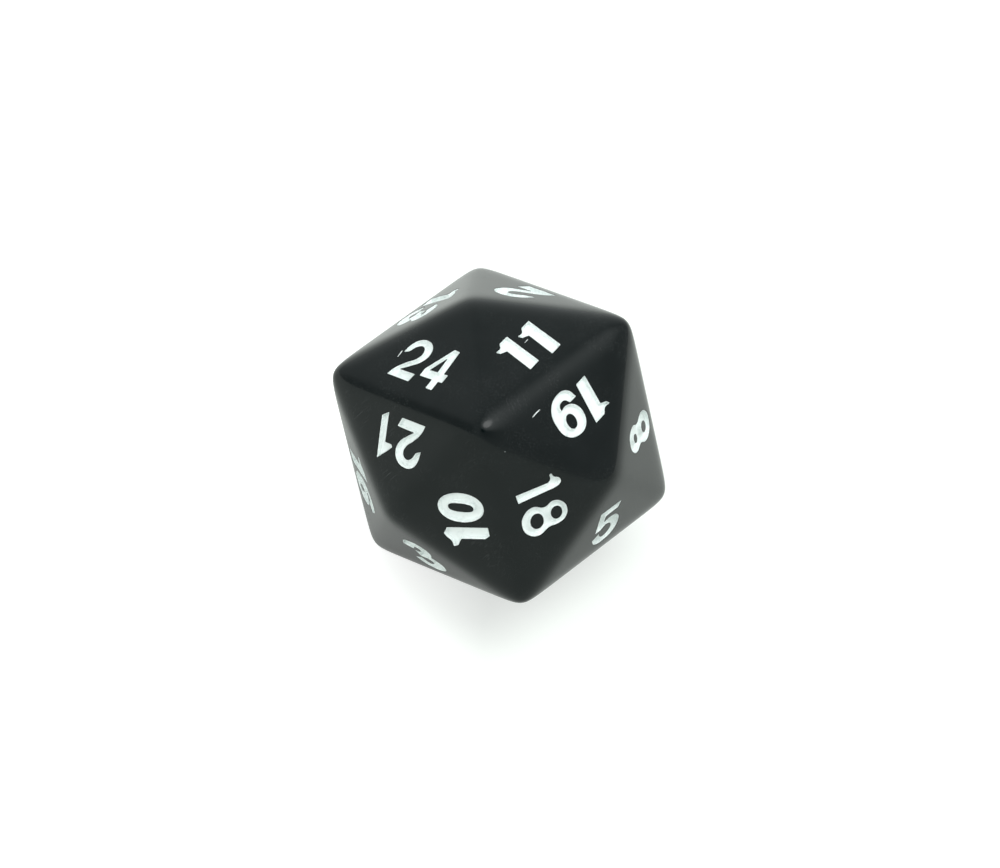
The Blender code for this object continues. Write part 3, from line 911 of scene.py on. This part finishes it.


# A square of matt floor with a painted glow that grows along a line, start to end on the line low to high:
# for the camera it whitens the floor with painted shade, and in reflections it is a painted reflection
def makeFloor():
    material, nodes, links, shader = newMaterial("pale_floor")
    shader.inputs["Base Color"].default_value = studio["floorColour"]
    shader.inputs["Roughness"].default_value = studio["floorRoughness"]
    shader.inputs["Specular IOR Level"].default_value = 0.0
    path = addNode(nodes, "ShaderNodeLightPath")
    parts = []
    for key, ray in (("floorWhiteAndPaintedShade", "Is Camera Ray"), ("floorPaintedReflection", "Is Glossy Ray")):
        azimuth, start, end, low, high = studio[key]
        place = addNode(nodes, "ShaderNodeTexCoord")
        way = directionTo(azimuth, 0)
        along = addNode(nodes, "ShaderNodeVectorMath", {1: way}, operation="DOT_PRODUCT")
        links.new(place.outputs["Object"], along.inputs[0])
        # glow by place: painted shade for camera rays, painted reflection for glossy rays
        paintedGlow = spread(nodes, links, along.outputs["Value"], start, end, (low, high))
        parts.append(joined(nodes, links, "MULTIPLY", paintedGlow, path.outputs[ray]))
    shader.inputs["Emission Color"].default_value = (1.0, 1.0, 1.0, 1.0)
    links.new(joined(nodes, links, "ADD", *parts), shader.inputs["Emission Strength"])
    half = studio["floorSize"] / 2
    mesh = bpy.data.meshes.new("floor")
    corners = [(-half, -half, 0), (half, -half, 0), (half, half, 0), (-half, half, 0)]
    mesh.from_pydata(corners, [], [(0, 1, 2, 3)])
    mesh.materials.append(material)
    floor = bpy.data.objects.new("floor", mesh)
    bpy.context.scene.collection.objects.link(floor)


# The room's light: an even base, and soft lobes that change smoothly from their rim to their middle. The
# camera sees a white backdrop instead.
def makeWorld():
    world = bpy.data.worlds.new("studio")
    world.use_nodes = True
    bpy.context.scene.world = world
    nodes, links = world.node_tree.nodes, world.node_tree.links
    background = nodes["Background"]
    background.inputs["Color"].default_value = studio["worldColour"]
    place = addNode(nodes, "ShaderNodeTexCoord")
    strength = None
    for azimuth, elevation, radius, adds in studio["roomLights"]:
        way = directionTo(azimuth, elevation)
        near = addNode(nodes, "ShaderNodeVectorMath", {1: way}, operation="DOT_PRODUCT")
        links.new(place.outputs["Generated"], near.inputs[0])
        reach = {"From Min": np.cos(np.radians(radius)), "To Max": adds}
        lobe = addNode(nodes, "ShaderNodeMapRange", reach, interpolation_type="SMOOTHSTEP")
        links.new(near.outputs["Value"], lobe.inputs["Value"])
        total = addNode(nodes, "ShaderNodeMath", {0: studio["worldStrength"]}, operation="ADD")
        if strength is not None:
            links.new(strength, total.inputs[0])
        links.new(lobe.outputs["Result"], total.inputs[1])
        strength = total.outputs[0]
    links.new(strength, background.inputs["Strength"])
    backdrop = addNode(nodes, "ShaderNodeBackground", {"Color": studio["backdropColour"]})
    path = addNode(nodes, "ShaderNodeLightPath")
    mix = addNode(nodes, "ShaderNodeMixShader")
    links.new(path.outputs["Is Camera Ray"], mix.inputs["Fac"])
    links.new(background.outputs[0], mix.inputs[1])
    links.new(backdrop.outputs[0], mix.inputs[2])
    links.new(mix.outputs[0], nodes["World Output"].inputs["Surface"])


# Round soft lamps that look at the floor's middle
def makeLamps():
    for azimuth, elevation, distance, size, power, mirrored in studio["lamps"]:
        data = bpy.data.lights.new("softbox", "AREA")
        data.shape = "DISK"
        data.size = size
        data.energy = power
        lamp = bpy.data.objects.new("softbox", data)
        way = directionTo(azimuth, elevation)
        lamp.location = way * distance
        lamp.rotation_euler = (-way).to_track_quat("-Z", "Y").to_euler()
        lamp.visible_glossy = mirrored
        bpy.context.scene.collection.objects.link(lamp)


view = {
    "azimuth": -146.26,       # of the camera, from +X towards +Y
    "elevation": 51.05,
    "roll": 12.9,
    "distance": 372.68 * mm,
    "aimHeight": 9.96 * mm,
    "lens": 196.45,           # in millimetres, as the sensor
    "sensor": 36.0,
    "clip": (0.01, 10.0),
}


# Looks level at its aim from the distance, then turns by the roll
def makeCamera():
    data = bpy.data.cameras.new("camera")
    data.lens = view["lens"]
    data.sensor_width = view["sensor"]
    data.clip_start, data.clip_end = view["clip"]
    camera = bpy.data.objects.new("camera", data)
    way = directionTo(view["azimuth"], view["elevation"])
    camera.location = Vector((0, 0, view["aimHeight"])) + way * view["distance"]
    level = (-way).to_track_quat("-Z", "Y").to_matrix()
    camera.rotation_euler = (level @ Matrix.Rotation(np.radians(view["roll"]), 3, "Z")).to_euler()
    bpy.context.scene.collection.objects.link(camera)
    bpy.context.scene.camera = camera
    bpy.context.scene.view_settings.view_transform = "Standard"


resin, paint = makeResin(), makePaint()
bodyShell = emptyShell()
for number, face in sorted(faces.items()):
    figures = figuresOf(number)
    addBorder(bodyShell, face)
    addGround(bodyShell, face, [loop for figure in figures for loop in figure["loops"]])
    for figure in figures:
        makeCoat(figure, face, paint)
for name in slivers:
    makeSliver(name, paint)
print("figures engraved and painted")

body = makePiece("moulded_body", bodyShell, resin)
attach(body, "root")
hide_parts("die_body")
print("body", len(body.data.vertices), "points", len(body.data.polygons), "faces")

makeFloor()
makeWorld()
makeLamps()
makeCamera()
print("studio set up")
